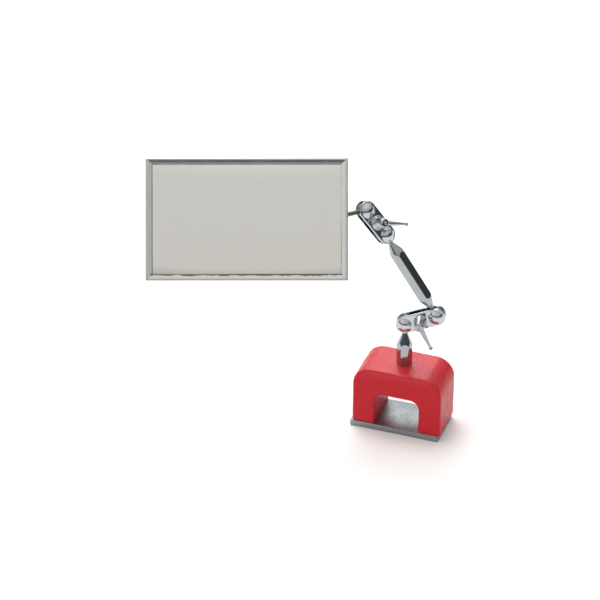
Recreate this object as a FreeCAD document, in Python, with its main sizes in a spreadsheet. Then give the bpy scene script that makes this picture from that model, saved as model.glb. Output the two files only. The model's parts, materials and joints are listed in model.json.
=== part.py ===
import FreeCAD, Part

import math
import os
import re

import Sketcher

# Hands-free inspection mirror: a framed mirror on two ball clamps and a hexagonal arm,
# standing on a horseshoe magnet with its keeper. Millimetres, +Z up. The origin is on the
# keeper's underside, on the axis of the stud that stands on the magnet's crown. The magnet's
# broad face looks along -Y.

# Driving dimensions. Each is a cell of the document's sheet, and every piece is bound to it.
SIZES = {
    # magnet and keeper
    "magnet_width": 42.5,
    "magnet_depth": 22.0,
    "magnet_height": 29.5,
    "magnet_corner": 9.0,
    "arch_width": 21.2,
    "arch_height": 16.5,
    "arch_corner": 4.5,
    "casting_round": 0.8,
    "keeper_width": 42.5,
    "keeper_depth": 22.4,
    "keeper_thick": 3.0,
    "keeper_slip": 0.8,
    "keeper_chamfer": 0.35,
    # hexagonal stems: across flats, neck, and where the pencil taper starts and ends,
    # counted from the centre of the ball
    "hex_across": 6.35,
    "neck_radius": 1.1,
    "neck_overlap": 0.5,
    "taper_start": 4.9,
    "taper_end": 11.6,
    "spigot_depth": 1.4,
    "stud_height": 21.6,
    "arm_length": 47.0,
    "base_stud_turn": 20.0,
    "arm_turn": 24.0,
    # balls
    "ball_radius": 3.0,
    "spin_gap": 0.05,
    "cup_gap": 0.04,
    # fixing screw under the crown
    "fixing_radius": 1.6,
    "fixing_clearance": 0.25,
    "fixing_head_radius": 3.3,
    "fixing_head_height": 2.4,
    "fixing_head_round": 0.4,
    "fixing_socket_across": 2.5,
    "fixing_socket_depth": 1.4,
    "fixing_engagement": 7.0,
    "fixing_tip_room": 1.0,
    "washer_radius": 3.5,
    "washer_thick": 0.8,
    "washer_split": 0.6,
    # double-ball clamps
    "ball_pitch": 15.2,
    "plate_width": 8.4,
    "plate_thick": 0.9,
    "plate_gap": 2.5,
    "plate_round": 0.25,
    "dome_wall": 0.85,
    "boss_radius": 3.0,
    "boss_top_radius": 2.75,
    "boss_height": 1.3,
    "dowel_radius": 0.5,
    "dowel_along": 2.8,
    "dowel_across": 2.5,
    "screw_radius": 1.3,
    "screw_slide_gap": 0.08,
    "screw_thread_gap": 0.05,
    "screw_head_radius": 2.6,
    "screw_head_height": 1.3,
    "screw_head_round": 0.9,
    "hub_radius": 2.7,
    "hub_top_radius": 2.3,
    "hub_height": 4.6,
    "hub_round": 1.0,
    "hub_bore_depth": 3.4,
    "screw_tip_room": 0.75,
    "lever_reach": 12.8,
    "lever_rise": 2.3,
    "lever_root_radius": 1.15,
    "lever_tip_radius": 0.55,
    "lever_spigot_radius": 0.85,
    "lever_spigot_start": 0.15,
    "lever_spigot_overlap": 0.6,
    "lever_knob_radius": 0.9,
    # mirror
    "mirror_width": 88.9,
    "mirror_height": 54.0,
    "sheet_thick": 0.5,
    "lip_width": 2.7,
    "lip_rim": 0.9,
    "lip_slope": 0.6,
    "glass_thick": 2.0,
    "glass_side_gap": 0.15,
    "glass_edge": 0.2,
    "pad_thick": 0.5,
    "pad_inset": 1.5,
    "pad_edge": 0.1,
    "tray_round": 0.6,
    # mirror stud, the rod bent to run along the tray's back, and its bracket
    "rod_radius": 1.05,
    "rod_bend": 3.0,
    "rod_tail": 26.0,
    "rod_corner_along": 42.5,
    "rod_corner_up": 1.8,
    "ball_from_corner_along": 10.0,
    "ball_from_corner_up": 2.5,
    "ball_from_corner_back": 6.06,
    "bracket_length": 18.0,
    "bracket_width": 14.0,
    "bracket_thick": 0.8,
    "bracket_round": 2.0,
    "bracket_setback": 4.5,
    "rivet_radius": 1.0,
    "rivet_head_radius": 1.8,
    "rivet_head_height": 0.9,
    "rivet_head_round": 0.7,
    "rivet_along": 11.0,
    "rivet_across": 9.2,
    # rest pose, in degrees
    "base_spin_rest": 11.3,
    "lower_clamp_rest": 21.3,
    "arm_swing_rest": 99.7,
    "arm_twist_rest": 48.0,
    "upper_clamp_rest": 6.1,
    "mirror_swing_rest": 56.4,
    "mirror_spin_rest": 143.0,
    "lower_lever_rest": -86.0,
    "upper_lever_rest": -137.0,
}

RIGHT = FreeCAD.Vector(1, 0, 0)
UP = FreeCAD.Vector(0, 0, 1)
AXIS = {"X": RIGHT, "Y": FreeCAD.Vector(0, 1, 0), "Z": UP}
# Longer than any piece, for holes that go right through.
FAR = "500"
# Two lengths closer than this are the same.
TINY = 1e-4
ALONG_X = (("Y", "90"),)

doc = FreeCAD.newDocument("InspectionMirror")
sheet = doc.addObject("Spreadsheet::Sheet", "Sizes")
for row, (alias, amount) in enumerate(SIZES.items(), start=1):
    sheet.set(f"A{row}", alias.replace("_", " "))
    sheet.set(f"B{row}", str(amount))
    sheet.setAlias(f"B{row}", alias)
doc.recompute()

NODES = {}


# ---------------------------------------------------------------- sheet and expressions


def formula(text):
    """The text with each alias in it turned into a reference to the sheet."""
    return re.sub(r"[a-z_]+", lambda word: f"Sizes.{word[0]}" if word[0] in SIZES else word[0], str(text))


def size(text):
    """The present value of an expression of aliases."""
    amount = sheet.evalExpression(formula(text))
    return float(getattr(amount, "Value", amount))


def bind(item, **links):
    """Binds an object's properties to expressions of aliases."""
    for name, text in links.items():
        item.setExpression(name, formula(text))
    return item


def rotation(*turns):
    """Turns about named axes, each given as an axis and an angle, the first one outermost."""
    total = FreeCAD.Rotation()
    for axis, angle in turns:
        total = total.multiply(FreeCAD.Rotation(AXIS[axis], size(angle)))
    return total


def place(item, x="0", y="0", z="0", turns=()):
    """Binds an object's position, after turning it."""
    item.Placement = FreeCAD.Placement(FreeCAD.Vector(), rotation(*turns))
    for letter, text in zip("xyz", (x, y, z)):
        item.setExpression(f"Placement.Base.{letter}", formula(text))
    return item


def finish(item, node, frame):
    """Names a finished sub-part and stands it in its frame."""
    item.Label = node
    item.Placement = frame
    NODES[node] = item


# ---------------------------------------------------------------- Part primitives


def box(name, length, width, height, **where):
    item = doc.addObject("Part::Box", name)
    return place(bind(item, Length=length, Width=width, Height=height), **where)


def centred_box(name, length, width, height, z="0"):
    return box(name, length, width, height, x=f"-({length}) / 2", y=f"-({width}) / 2", z=z)


def cylinder(name, radius, height, **where):
    item = doc.addObject("Part::Cylinder", name)
    return place(bind(item, Radius=radius, Height=height), **where)


def cone(name, low_radius, high_radius, height, **where):
    item = doc.addObject("Part::Cone", name)
    return place(bind(item, Radius1=low_radius, Radius2=high_radius, Height=height), **where)


def sphere(name, radius, **where):
    item = doc.addObject("Part::Sphere", name)
    return place(bind(item, Radius=radius), **where)


def hexagon(name, across, height, turn="0", **where):
    item = doc.addObject("Part::Prism", name)
    item.Polygon = 6
    bind(item, Circumradius=f"({across}) / sqrt(3)", Height=height)
    return place(item, turns=(("Z", turn),), **where)


def cut(name, base, *tools):
    """Cuts the tools from the base, one after another."""
    for number, tool in enumerate(tools):
        item = doc.addObject("Part::Cut", f"{name}_cut_{number}")
        item.Base = base
        item.Tool = tool
        base = item
    return base


def fuse(name, *pieces):
    item = doc.addObject("Part::MultiFuse", f"{name}_fuse")
    item.Shapes = list(pieces)
    item.Refine = True
    return item


def common(name, base, tool):
    item = doc.addObject("Part::Common", f"{name}_common")
    item.Base = base
    item.Tool = tool
    return item


def fillet(name, base, radius, chosen):
    """Rounds the edges of a Part object that the test chooses."""
    doc.recompute()
    amount = size(radius)
    item = doc.addObject("Part::Fillet", f"{name}_fillet")
    item.Base = base
    numbers = [number for number, edge in enumerate(base.Shape.Edges, start=1) if chosen(edge)]
    item.Edges = [(number, amount, amount) for number in numbers]
    return item


# ---------------------------------------------------------------- PartDesign bodies


def new_body(name):
    return doc.addObject("PartDesign::Body", name)


def sketch_on(body, role, name):
    sketch = body.newObject("Sketcher::SketchObject", name)
    plane = [item for item in body.Origin.OriginFeatures if item.Role == role][0]
    sketch.AttachmentSupport = [(plane, "")]
    sketch.MapMode = "FlatFace"
    return sketch


def dimension(sketch, name, kind, where, text):
    """Adds a named dimension bound to the sheet."""
    number = sketch.addConstraint(Sketcher.Constraint(kind, *where, size(text)))
    sketch.renameConstraint(number, name)
    sketch.setExpression(f"Constraints.{name}", formula(text))


def rectangle(sketch, width, low, high):
    """A rectangle centred on the sketch's upright axis, between two heights."""
    half = size(width) / 2
    corners = [(-half, size(low)), (half, size(low)), (half, size(high)), (-half, size(high))]
    points = [FreeCAD.Vector(x, y, 0) for x, y in corners]
    for number in range(4):
        sketch.addGeometry(Part.LineSegment(points[number], points[(number + 1) % 4]), False)
    for number in range(4):
        sketch.addConstraint(Sketcher.Constraint("Coincident", number, 2, (number + 1) % 4, 1))
    sketch.addConstraint(Sketcher.Constraint("Horizontal", 2))
    sketch.addConstraint(Sketcher.Constraint("Vertical", 1))
    sketch.addConstraint(Sketcher.Constraint("Vertical", 3))
    sketch.addConstraint(Sketcher.Constraint("Symmetric", 0, 1, 0, 2, -2))
    dimension(sketch, "Width", "DistanceX", (0, 1, 0, 2), width)
    dimension(sketch, "Low", "DistanceY", (-1, 1, 0, 1), low)
    dimension(sketch, "High", "DistanceY", (-1, 1, 2, 1), high)


def circle(sketch, radius):
    """A circle about the sketch's origin."""
    sketch.addGeometry(Part.Circle(FreeCAD.Vector(), UP, size(radius)), False)
    sketch.addConstraint(Sketcher.Constraint("Coincident", 0, 3, -1, 1))
    dimension(sketch, "Radius", "Radius", (0,), radius)


def pad(body, sketch, length, both_ways=False):
    item = body.newObject("PartDesign::Pad", f"{body.Name}_pad")
    item.Profile = sketch
    item.Midplane = both_ways
    bind(item, Length=length)
    body.Tip = item
    doc.recompute()
    return item


def pocket_through(body, sketch):
    """Cuts a sketch through the body both ways, and checks that it did cut."""
    before = body.Shape.Volume
    item = body.newObject("PartDesign::Pocket", f"{sketch.Name}_pocket")
    item.Profile = sketch
    item.Midplane = True
    item.Type = "ThroughAll"
    body.Tip = item
    doc.recompute()
    if body.Shape.Volume > before - TINY:
        raise RuntimeError(f"{sketch.Name} cuts nothing")
    return item


def dress(body, kind, base, amount_name, amount, chosen):
    """A PartDesign Fillet or Chamfer on the edges that the test chooses."""
    edges = [f"Edge{number}" for number, edge in enumerate(base.Shape.Edges, start=1) if chosen(edge)]
    item = body.newObject(f"PartDesign::{kind}", f"{base.Name}_{kind.lower()}")
    item.Base = (base, edges)
    bind(item, **{amount_name: amount})
    body.Tip = item
    doc.recompute()
    return item


# ---------------------------------------------------------------- frames of the rest pose


def turned(frame, axis, angle):
    return frame.multiply(FreeCAD.Placement(FreeCAD.Vector(), rotation((axis, angle))))


def moved(frame, x="0", y="0", z="0"):
    step = FreeCAD.Vector(size(x), size(y), size(z))
    return frame.multiply(FreeCAD.Placement(step, FreeCAD.Rotation()))


WORLD = FreeCAD.Placement()
CROWN_TOP = "(keeper_thick + magnet_height)"
# Just outside the hexagon's corners.
HEX_ENVELOPE = "(hex_across / sqrt(3) * 1.02)"
TRAY_DEPTH = "(lip_slope + glass_thick + pad_thick + 2 * sheet_thick)"
ROD_CORNER = ("rod_corner_along", "rod_corner_up", f"-({TRAY_DEPTH} + rod_radius)")

crown = moved(WORLD, z=CROWN_TOP)
base_ball_at = moved(crown, z="stud_height")
# A clamp's frame has X from its first ball to its second and Z along its screw, lever outwards.
base_ball_spun = turned(turned(base_ball_at, "Z", "base_spin_rest"), "X", "90")
lower_first = turned(base_ball_spun, "Z", "lower_clamp_rest")
lower_clamp_at = moved(lower_first, x="ball_pitch / 2")
lower_second = moved(lower_first, x="ball_pitch")
# The arm's frame has Z along the arm, from its lower ball to its upper ball.
along_arm = turned(lower_second, "Z", "arm_swing_rest")
arm_at = turned(along_arm, "Y", "90")
arm_top = moved(arm_at, z="arm_length")
upper_first = turned(
    turned(moved(along_arm, x="arm_length"), "X", "arm_twist_rest"), "Z", "upper_clamp_rest"
)
upper_clamp_at = moved(upper_first, x="ball_pitch / 2")
upper_second = moved(upper_first, x="ball_pitch")
# The mirror's frame has X to the right of the glass, Y up it and Z out of it.
along_stud = turned(upper_second, "Z", "mirror_swing_rest")
ball_to_corner = FreeCAD.Vector(
    -size("ball_from_corner_along"), -size("ball_from_corner_up"), size("ball_from_corner_back")
)
stud_to_mirror = FreeCAD.Placement(FreeCAD.Vector(), FreeCAD.Rotation(ball_to_corner, RIGHT))
mirror_turn = turned(along_stud, "X", "mirror_spin_rest").multiply(stud_to_mirror)
corner_at = mirror_turn.multiply(FreeCAD.Placement(ball_to_corner, FreeCAD.Rotation()))
mirror_at = moved(corner_at, *[f"-({text})" for text in ROD_CORNER])


# ---------------------------------------------------------------- magnet, keeper and stud


def horseshoe_magnet():
    """Block with an arch between its two poles and a bore down through its crown."""
    body = new_body("magnet")
    outline = sketch_on(body, "XZ_Plane", "magnet_outline")
    rectangle(outline, "magnet_width", "keeper_thick", CROWN_TOP)
    block = pad(body, outline, "magnet_depth", both_ways=True)

    def top_corner(edge):
        middle = edge.CenterOfMass
        return abs(middle.y) < TINY and abs(middle.z - size(CROWN_TOP)) < TINY

    dress(body, "Fillet", block, "Radius", "magnet_corner", top_corner)
    arch = sketch_on(body, "XZ_Plane", "arch_outline")
    rectangle(arch, "arch_width", "0", "keeper_thick + arch_height")
    arch_cut = pocket_through(body, arch)

    def arch_top_corner(edge):
        middle = edge.CenterOfMass
        return abs(middle.y) < TINY and abs(middle.z - size("keeper_thick + arch_height")) < TINY

    arch_rounds = dress(body, "Fillet", arch_cut, "Radius", "arch_corner", arch_top_corner)

    def face_outline(edge):
        on_face = abs(abs(edge.CenterOfMass.y) - size("magnet_depth / 2")) < TINY
        return on_face and edge.BoundBox.ZMax > size("keeper_thick") + TINY

    dress(body, "Fillet", arch_rounds, "Radius", "casting_round", face_outline)
    bore = sketch_on(body, "XY_Plane", "crown_bore")
    circle(bore, "fixing_radius + fixing_clearance")
    pocket_through(body, bore)
    finish(body, "horseshoe_magnet", WORLD)


def flat_sheet(node, width, height, thick, edge_break, frame):
    """A rectangular sheet centred on its frame and standing on its XY plane, edges broken."""
    body = new_body(f"{node}_body")
    outline = sketch_on(body, "XY_Plane", f"{node}_outline")
    rectangle(outline, width, f"-({height}) / 2", f"({height}) / 2")
    block = pad(body, outline, thick)
    dress(body, "Chamfer", block, "Size", edge_break, lambda edge: True)
    finish(body, node, frame)


def keeper_plate():
    """Soft iron bar across the two poles."""
    flat_sheet("keeper_plate", "keeper_width", "keeper_depth", "keeper_thick", "keeper_chamfer",
               moved(WORLD, x="-keeper_slip"))


def pencil_taper(name, away, toward):
    """The envelope of one tapered end: a cone from the neck out past the hexagon's corners.

    away is the ball's height along the stem, and toward is 1 or -1, the way the stem runs from it.
    """
    length = "(taper_end - taper_start)"
    if toward > 0:
        return cone(name, "neck_radius", HEX_ENVELOPE, length, z=f"{away} + taper_start")
    return cone(name, HEX_ENVELOPE, "neck_radius", length, z=f"{away} - taper_end")


def base_stud():
    """Hexagonal stud that stands on the crown, tapered to a neck below its ball."""
    prism = hexagon("stud_hex", "hex_across", "stud_height - taper_start", turn="base_stud_turn")
    shank = cylinder("stud_envelope", HEX_ENVELOPE, "stud_height - taper_end")
    taper = pencil_taper("stud_taper", "stud_height", -1)
    tapered = common("stud", prism, fuse("stud_envelopes", shank, taper))
    neck_start = "(stud_height - taper_start - neck_overlap)"
    neck = cylinder("stud_neck", "neck_radius", f"stud_height + spigot_depth - {neck_start}", z=neck_start)
    solid = fuse("stud_whole", tapered, neck)
    tapped = cylinder("stud_tapping", "fixing_radius", "fixing_engagement + fixing_tip_room")
    finish(cut("base_stud", solid, tapped), "base_stud", crown)


def hex_arm():
    """Hexagonal rod between the two clamps, tapered to a neck at each end."""
    prism = hexagon(
        "arm_hex", "hex_across", "arm_length - 2 * taper_start", turn="arm_turn", z="taper_start"
    )
    shank = cylinder("arm_envelope", HEX_ENVELOPE, "arm_length - 2 * taper_end", z="taper_end")
    low_taper = pencil_taper("arm_low_taper", "0", 1)
    high_taper = pencil_taper("arm_high_taper", "arm_length", -1)
    tapered = common("arm", prism, fuse("arm_envelopes", shank, low_taper, high_taper))
    neck_length = "(taper_start + spigot_depth + neck_overlap)"
    low_neck = cylinder("arm_low_neck", "neck_radius", neck_length, z="-spigot_depth")
    high_neck = cylinder(
        "arm_high_neck", "neck_radius", neck_length, z="arm_length - taper_start - neck_overlap"
    )
    finish(fuse("arm_whole", tapered, low_neck, high_neck), "hex_arm", arm_at)


def fixing_screw():
    """Socket screw up through the crown into the stud, with its head inside the arch."""
    seat = "(keeper_thick + arch_height - washer_thick)"
    head = cylinder(
        "fixing_head", "fixing_head_radius", "fixing_head_height", z=f"{seat} - fixing_head_height"
    )
    head_face = size(f"{seat} - fixing_head_height")
    head = fillet("fixing_head", head, "fixing_head_round",
                  lambda edge: edge.BoundBox.ZMax < head_face + TINY)
    shank = cylinder(
        "fixing_shank", "fixing_radius", f"{CROWN_TOP} + fixing_engagement - {seat}", z=seat
    )
    socket = hexagon(
        "fixing_socket", "fixing_socket_across", "fixing_socket_depth", z=f"{seat} - fixing_head_height"
    )
    screw = cut("fixing_screw", fuse("fixing_whole", head, shank), socket)
    finish(screw, "base_fixing_screw", WORLD)


def lock_washer():
    """Split ring under the fixing screw's head."""
    ring = cylinder("washer_disc", "washer_radius", "washer_thick")
    hole = cylinder("washer_hole", "fixing_radius + fixing_clearance", "washer_thick")
    split = box("washer_gap", "washer_radius", "washer_split", "washer_thick", y="-washer_split / 2")
    washer = cut("washer", ring, hole, split)
    finish(washer, "base_lock_washer", moved(WORLD, z="keeper_thick + arch_height - washer_thick"))


def ball(node, frame, neck="neck_radius"):
    """A ball bored for its stem, which comes in along the frame's +Z."""
    sound = sphere(f"{node}_sphere", "ball_radius")
    bore = cylinder(
        f"{node}_bore", f"{neck} + spin_gap", "spigot_depth + 2 * spin_gap + ball_radius",
        z="-(spigot_depth + 2 * spin_gap)",
    )
    finish(cut(node, sound, bore), node, frame)


# ---------------------------------------------------------------- clamps


PLATE_TOP = "(plate_gap / 2 + plate_thick)"
BOSS_TOP = "(plate_gap / 2 + plate_thick + boss_height)"
DOME = "(ball_radius + cup_gap + dome_wall)"
# The flat ring between a dome's foot and the plate's edge, which limits their rounding.
DOME_RING = f"(plate_width / 2 - sqrt({DOME}^2 - {PLATE_TOP}^2))"
# A lever's spigot starts beyond the nut's bore.
SPIGOT_START = "(screw_radius + screw_thread_gap + lever_spigot_start)"


def clamp_plate(name, with_boss):
    """One pressed plate of a clamp, on the +Z side: a slot-shaped plate with a cup at each end."""
    pieces = [
        box(f"{name}_web", "ball_pitch", "plate_width", "plate_thick",
            x="-ball_pitch / 2", y="-plate_width / 2", z="plate_gap / 2")
    ]
    for end, place_x in (("first", "-ball_pitch / 2"), ("second", "ball_pitch / 2")):
        pieces.append(cylinder(f"{name}_{end}_end", "plate_width / 2", "plate_thick",
                               x=place_x, z="plate_gap / 2"))
        pieces.append(sphere(f"{name}_{end}_dome", DOME, x=place_x))
    if with_boss:
        pieces.append(cone(f"{name}_boss", "boss_radius", "boss_top_radius", "boss_height",
                           z=PLATE_TOP))
    solid = fuse(name, *pieces)
    below = box(f"{name}_inside", "2 * ball_pitch + 2 * plate_width", "2 * plate_width",
                "plate_gap / 2 + 2 * ball_radius", x="-(ball_pitch + plate_width)",
                y="-plate_width", z="-2 * ball_radius")
    cups = [
        sphere(f"{name}_{end}_cup", "ball_radius + cup_gap", x=place_x)
        for end, place_x in (("first", "-ball_pitch / 2"), ("second", "ball_pitch / 2"))
    ]
    trimmed = cut(f"{name}_trim", solid, below)

    def outer_rim(edge):
        on_top = abs(edge.BoundBox.ZMin - size(PLATE_TOP)) < TINY
        flat = edge.BoundBox.ZLength < TINY
        at_boss = math.hypot(edge.CenterOfMass.x, edge.CenterOfMass.y) < TINY
        return on_top and flat and not at_boss

    rounded = fillet(name, trimmed, f"min(plate_round; {DOME_RING} / 3)", outer_rim)
    hole_radius = "screw_radius + screw_slide_gap" if with_boss else "screw_radius"
    tools = cups + [cylinder(f"{name}_hole", hole_radius, FAR)]
    if with_boss:
        tools.append(cylinder(f"{name}_dowel_hole", "dowel_radius", FAR,
                              x="dowel_along", y="dowel_across"))
    return cut(name, rounded, *tools)


def clamp(prefix, frame, lever_rest):
    """One double-ball clamp: two cupped plates, their screw, and the lever nut that closes them."""
    rear = clamp_plate(f"{prefix}_rear", with_boss=False)
    finish(rear, f"{prefix}_rear_plate", turned(frame, "X", "180"))
    front = clamp_plate(f"{prefix}_front", with_boss=True)
    finish(front, f"{prefix}_front_plate", frame)

    head = cylinder(f"{prefix}_screw_head", "screw_head_radius", "screw_head_height",
                    z=f"-({PLATE_TOP} + screw_head_height)")
    head = fillet(f"{prefix}_screw_head", head, "screw_head_round",
                  lambda edge: edge.BoundBox.ZMax < size(f"-({PLATE_TOP} + screw_head_height)") + TINY)
    tip = f"({BOSS_TOP} + hub_bore_depth - screw_tip_room)"
    shank = cylinder(f"{prefix}_screw_shank", "screw_radius", f"{tip} + {PLATE_TOP}", z=f"-{PLATE_TOP}")
    finish(fuse(f"{prefix}_screw", head, shank), f"{prefix}_clamp_screw", frame)

    lever_at = turned(frame, "Z", lever_rest)
    hub = cone(f"{prefix}_hub_cone", "hub_radius", "hub_top_radius", "hub_height", z=BOSS_TOP)
    hub_top = f"({BOSS_TOP} + hub_height)"
    hub = fillet(f"{prefix}_hub", hub, "hub_round", lambda edge: edge.BoundBox.ZMin > size(hub_top) - TINY)
    bore = cylinder(f"{prefix}_hub_bore", "screw_radius + screw_thread_gap", "hub_bore_depth", z=BOSS_TOP)
    axis_height = f"({BOSS_TOP} + lever_rise)"
    side_hole = cylinder(f"{prefix}_hub_side_hole", "lever_spigot_radius", FAR,
                         x=SPIGOT_START, z=axis_height, turns=ALONG_X)
    finish(cut(f"{prefix}_hub", hub, bore, side_hole), f"{prefix}_lever_hub", lever_at)

    taper = cone(f"{prefix}_lever_taper", "lever_root_radius", "lever_tip_radius",
                 f"lever_reach - {SPIGOT_START}", x=SPIGOT_START, z=axis_height, turns=ALONG_X)
    envelope = cone(f"{prefix}_hub_envelope", "hub_radius", "hub_top_radius", "hub_height", z=BOSS_TOP)
    outside = cut(f"{prefix}_lever_root", taper, envelope)
    spigot = cylinder(
        f"{prefix}_lever_spigot", "lever_spigot_radius",
        f"hub_radius - {SPIGOT_START} + lever_spigot_overlap",
        x=SPIGOT_START, z=axis_height, turns=ALONG_X,
    )
    knob = sphere(f"{prefix}_lever_knob", "lever_knob_radius", x="lever_reach", z=axis_height)
    finish(fuse(f"{prefix}_lever", outside, spigot, knob), f"{prefix}_lever", lever_at)


# ---------------------------------------------------------------- mirror


def mirror_frame():
    """Pressed tray with a bevelled lip folded over the glass; its front is the plane Z = 0."""
    depth = TRAY_DEPTH
    block = centred_box("tray_block", "mirror_width", "mirror_height", depth, z=f"-{depth}")
    rounded = fillet(
        "tray", block, "tray_round",
        lambda edge: edge.BoundBox.ZMin > -size(depth) + TINY or edge.BoundBox.ZLength > TINY,
    )
    cavity = centred_box("tray_cavity", "mirror_width - 2 * sheet_thick",
                         "mirror_height - 2 * sheet_thick", "glass_thick + pad_thick",
                         z=f"sheet_thick - {depth}")
    window = centred_box("tray_window", "mirror_width - 2 * lip_width", "mirror_height - 2 * lip_width",
                         "sheet_thick + lip_slope / 2", z="-(lip_slope + sheet_thick)")
    bevel = doc.addObject("Part::Wedge", "tray_bevel")
    bind(
        bevel, Ymin="0", Ymax="lip_slope",
        Xmin="-(mirror_width / 2 - lip_width)", Xmax="mirror_width / 2 - lip_width",
        Zmin="-(mirror_height / 2 - lip_width)", Zmax="mirror_height / 2 - lip_width",
        X2min="-(mirror_width / 2 - lip_rim)", X2max="mirror_width / 2 - lip_rim",
        Z2min="-(mirror_height / 2 - lip_rim)", Z2max="mirror_height / 2 - lip_rim",
    )
    place(bevel, z="-lip_slope", turns=(("X", "90"),))
    holes = [cylinder(f"tray_{name}", "rivet_radius", "sheet_thick", x=x, y=y, z=f"-{depth}")
             for name, x, y in rivet_places()]
    finish(cut("mirror_frame", rounded, cavity, window, bevel, *holes), "mirror_frame", mirror_at)


def glass_and_pad():
    """The silvered glass under the lip, on the thin pad that fills the tray behind it."""
    pad_floor = f"sheet_thick - {TRAY_DEPTH}"
    flat_sheet(
        "backing_pad", "mirror_width - 2 * (sheet_thick + pad_inset)",
        "mirror_height - 2 * (sheet_thick + pad_inset)", "pad_thick", "pad_edge",
        moved(mirror_at, z=pad_floor),
    )
    flat_sheet(
        "mirror_glass", "mirror_width - 2 * (sheet_thick + glass_side_gap)",
        "mirror_height - 2 * (sheet_thick + glass_side_gap)", "glass_thick", "glass_edge",
        moved(mirror_at, z=f"{pad_floor} + pad_thick"),
    )


BRACKET_MIDDLE = "(mirror_width / 2 - bracket_setback - bracket_length / 2)"


def rivet_places():
    """Name, X and Y of each rivet in the mirror's frame."""
    for column in (-1, 1):
        for side in (-1, 1):
            name = f"rivet_{'inner' if column < 0 else 'outer'}_{'low' if side < 0 else 'high'}"
            yield name, f"{BRACKET_MIDDLE} + {column} * rivet_along / 2", (
                f"rod_corner_up + {side} * rivet_across / 2"
            )


def stud_bracket():
    """Saddle over the rod on the tray's back, with two flanges riveted to the tray."""
    depth = TRAY_DEPTH
    flange = box(
        "bracket_flange", "bracket_length", "bracket_width", "bracket_thick",
        x=f"{BRACKET_MIDDLE} - bracket_length / 2", y="rod_corner_up - bracket_width / 2",
        z=f"-({depth} + bracket_thick)",
    )
    flange = fillet("bracket_flange", flange, "bracket_round", lambda edge: edge.BoundBox.ZLength > TINY)
    saddle_at = dict(x=f"{BRACKET_MIDDLE} - bracket_length / 2", y="rod_corner_up",
                     z=f"-({depth} + rod_radius)", turns=ALONG_X)
    hump = cylinder("bracket_hump", "rod_radius + bracket_thick", "bracket_length", **saddle_at)
    walls = box(
        "bracket_walls", "bracket_length", "2 * (rod_radius + bracket_thick)", "rod_radius",
        x=f"{BRACKET_MIDDLE} - bracket_length / 2", y="rod_corner_up - rod_radius - bracket_thick",
        z=f"-({depth} + rod_radius)",
    )
    channel = cylinder("bracket_channel", "rod_radius", "bracket_length", **saddle_at)
    mouth = box(
        "bracket_mouth", "bracket_length", "2 * rod_radius", "rod_radius",
        x=f"{BRACKET_MIDDLE} - bracket_length / 2", y="rod_corner_up - rod_radius",
        z=f"-({depth} + rod_radius)",
    )
    inside_tray = centred_box(
        "bracket_limit", "mirror_width", "mirror_height", "bracket_width", z=f"-{depth}"
    )
    holes = [cylinder(f"bracket_{name}", "rivet_radius", "bracket_thick",
                      x=x, y=y, z=f"-({depth} + bracket_thick)") for name, x, y in rivet_places()]
    solid = fuse("bracket", flange, hump, walls)
    finish(cut("stud_bracket", solid, inside_tray, channel, mouth, *holes), "stud_bracket", mirror_at)


def bracket_rivets():
    """Four round-headed rivets, as one group of separate solids."""
    depth = TRAY_DEPTH
    head_floor = -size(f"{depth} + bracket_thick + rivet_head_height")
    pieces = []
    for name, x, y in rivet_places():
        shank = cylinder(f"{name}_shank", "rivet_radius", "bracket_thick + sheet_thick",
                         x=x, y=y, z=f"-({depth} + bracket_thick)")
        head = cylinder(f"{name}_head", "rivet_head_radius", "rivet_head_height",
                        x=x, y=y, z=f"-({depth} + bracket_thick + rivet_head_height)")
        head = fillet(f"{name}_head", head, "rivet_head_round",
                      lambda edge: edge.BoundBox.ZMax < head_floor + TINY)
        pieces.append(fuse(name, shank, head))
    group = doc.addObject("Part::Compound", "rivet_group")
    group.Links = pieces
    finish(group, "bracket_rivets", mirror_at)


ROD_TURN = "atan(sqrt(ball_from_corner_up^2 + ball_from_corner_back^2) / ball_from_corner_along)"
ROD_REACH = "sqrt(ball_from_corner_along^2 + ball_from_corner_up^2 + ball_from_corner_back^2)"
BEND_START = f"(rod_bend * tan({ROD_TURN} / 2))"


def mirror_stud():
    """The rod: along the tray's back to its corner, then bent away to its ball.

    Its frame has X along the tray and Y on the side that the rod is bent to.
    """
    tail = cylinder("stud_tail", "rod_radius", f"rod_tail - {BEND_START}", x="-rod_tail", turns=ALONG_X)
    bend = doc.addObject("Part::Torus", "stud_bend")
    bind(bend, Radius1="rod_bend", Radius2="rod_radius", Angle3=ROD_TURN)
    place(bend, x=f"-{BEND_START}", y="rod_bend", turns=(("Z", "-90"),))
    head = cylinder(
        "stud_head", "rod_radius", f"{ROD_REACH} - {BEND_START} + spigot_depth",
        x=f"{BEND_START} * cos({ROD_TURN})", y=f"{BEND_START} * sin({ROD_TURN})",
        turns=(("Z", ROD_TURN), ("Y", "90")),
    )
    side = "atan2(-ball_from_corner_back; ball_from_corner_up)"
    stud_at = turned(moved(mirror_at, *ROD_CORNER), "X", side)
    finish(fuse("mirror_stud", tail, bend, head), "mirror_stud", stud_at)


def build():
    """Makes every sub-part, from the magnet up to the mirror."""
    horseshoe_magnet()
    keeper_plate()
    base_stud()
    fixing_screw()
    lock_washer()
    ball("base_ball", turned(base_ball_at, "X", "180"))
    clamp("lower", lower_clamp_at, "lower_lever_rest")
    ball("arm_lower_ball", arm_at)
    hex_arm()
    ball("arm_upper_ball", turned(arm_top, "X", "180"))
    clamp("upper", upper_clamp_at, "upper_lever_rest")
    ball("mirror_ball", turned(along_stud, "Y", "90"), neck="rod_radius")
    mirror_stud()
    stud_bracket()
    bracket_rivets()
    mirror_frame()
    glass_and_pad()
    doc.recompute()


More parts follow.
